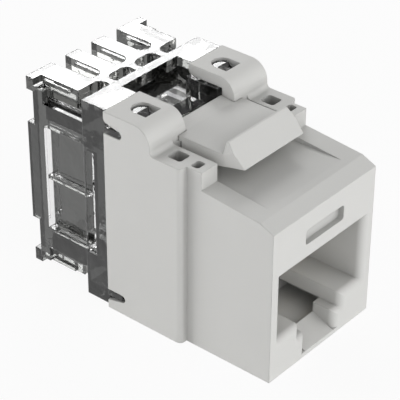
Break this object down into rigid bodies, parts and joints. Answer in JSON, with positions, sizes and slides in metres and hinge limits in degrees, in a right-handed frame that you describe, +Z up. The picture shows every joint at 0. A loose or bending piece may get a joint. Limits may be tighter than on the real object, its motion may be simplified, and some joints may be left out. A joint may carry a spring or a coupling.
{
  "type": "keystone jack",
  "caption": "Snap-in network jack: a plug port in a pale bezel, a sprung release latch on top, and a clear rear fixture whose combs hold the wires over their terminals.",
  "frame": {"origin": "centre of the bounding box at the level of the base, which is the housing's flat underside", "axes": "+Y from the plug opening towards the cable entry, +Z up towards the latch, +X to the right seen from the plug side"},
  "size_m": [0.0162, 0.028, 0.0208],
  "materials": {
    "pale_plastic": "satin pale grey moulded plastic",
    "dark_plastic": "dark moulded plastic",
    "clear_plastic": "clear polished plastic",
    "gold_plate": "gold-plated sprung wire",
    "tin_plate": "bright tin plate",
    "board": "dark green lacquered laminate"
  },
  "bodies": {
    "jack": {"front_housing": "pale_plastic", "contact_carrier": "dark_plastic", "contact_lead_1": "gold_plate", "contact_lead_2": "gold_plate", "contact_lead_3": "gold_plate", "contact_lead_4": "gold_plate", "contact_lead_5": "gold_plate", "contact_lead_6": "gold_plate", "contact_lead_7": "gold_plate", "contact_lead_8": "gold_plate", "circuit_board": "board", "terminal_block": "dark_plastic", "wire_terminal_1": "tin_plate", "wire_terminal_2": "tin_plate", "wire_terminal_3": "tin_plate", "wire_terminal_4": "tin_plate", "wire_terminal_5": "tin_plate", "wire_terminal_6": "tin_plate", "wire_terminal_7": "tin_plate", "wire_terminal_8": "tin_plate", "lacing_fixture": "clear_plastic"},
    "latch": {"release_latch": "pale_plastic"},
    "contact_1": {"plug_contact_1": "gold_plate"},
    "contact_2": {"plug_contact_2": "gold_plate"},
    "contact_3": {"plug_contact_3": "gold_plate"},
    "contact_4": {"plug_contact_4": "gold_plate"},
    "contact_5": {"plug_contact_5": "gold_plate"},
    "contact_6": {"plug_contact_6": "gold_plate"},
    "contact_7": {"plug_contact_7": "gold_plate"},
    "contact_8": {"plug_contact_8": "gold_plate"}
  },
  "joints": [
    {"name": "latch_press", "type": "hinge", "parent": "jack", "child": "latch", "pos_m": [0, -0.00042, 0.01795], "axis": [1, 0, 0], "range_deg": [0, 11], "stiffness_Nm_per_rad": 0.1},
    {"name": "contact_press_1", "type": "hinge", "parent": "jack", "child": "contact_1", "pos_m": [-0.00356, -0.00873, 0.0117], "axis": [1, 0, 0], "range_deg": [0, 12], "stiffness_Nm_per_rad": 0.01},
    {"name": "contact_press_2", "type": "hinge", "parent": "jack", "child": "contact_2", "pos_m": [-0.00254, -0.00873, 0.0117], "axis": [1, 0, 0], "range_deg": [0, 12], "stiffness_Nm_per_rad": 0.01},
    {"name": "contact_press_3", "type": "hinge", "parent": "jack", "child": "contact_3", "pos_m": [-0.00152, -0.00873, 0.0117], "axis": [1, 0, 0], "range_deg": [0, 12], "stiffness_Nm_per_rad": 0.01},
    {"name": "contact_press_4", "type": "hinge", "parent": "jack", "child": "contact_4", "pos_m": [-0.00051, -0.00873, 0.0117], "axis": [1, 0, 0], "range_deg": [0, 12], "stiffness_Nm_per_rad": 0.01},
    {"name": "contact_press_5", "type": "hinge", "parent": "jack", "child": "contact_5", "pos_m": [0.00051, -0.00873, 0.0117], "axis": [1, 0, 0], "range_deg": [0, 12], "stiffness_Nm_per_rad": 0.01},
    {"name": "contact_press_6", "type": "hinge", "parent": "jack", "child": "contact_6", "pos_m": [0.00152, -0.00873, 0.0117], "axis": [1, 0, 0], "range_deg": [0, 12], "stiffness_Nm_per_rad": 0.01},
    {"name": "contact_press_7", "type": "hinge", "parent": "jack", "child": "contact_7", "pos_m": [0.00254, -0.00873, 0.0117], "axis": [1, 0, 0], "range_deg": [0, 12], "stiffness_Nm_per_rad": 0.01},
    {"name": "contact_press_8", "type": "hinge", "parent": "jack", "child": "contact_8", "pos_m": [0.00356, -0.00873, 0.0117], "axis": [1, 0, 0], "range_deg": [0, 12], "stiffness_Nm_per_rad": 0.01}
  ]
}
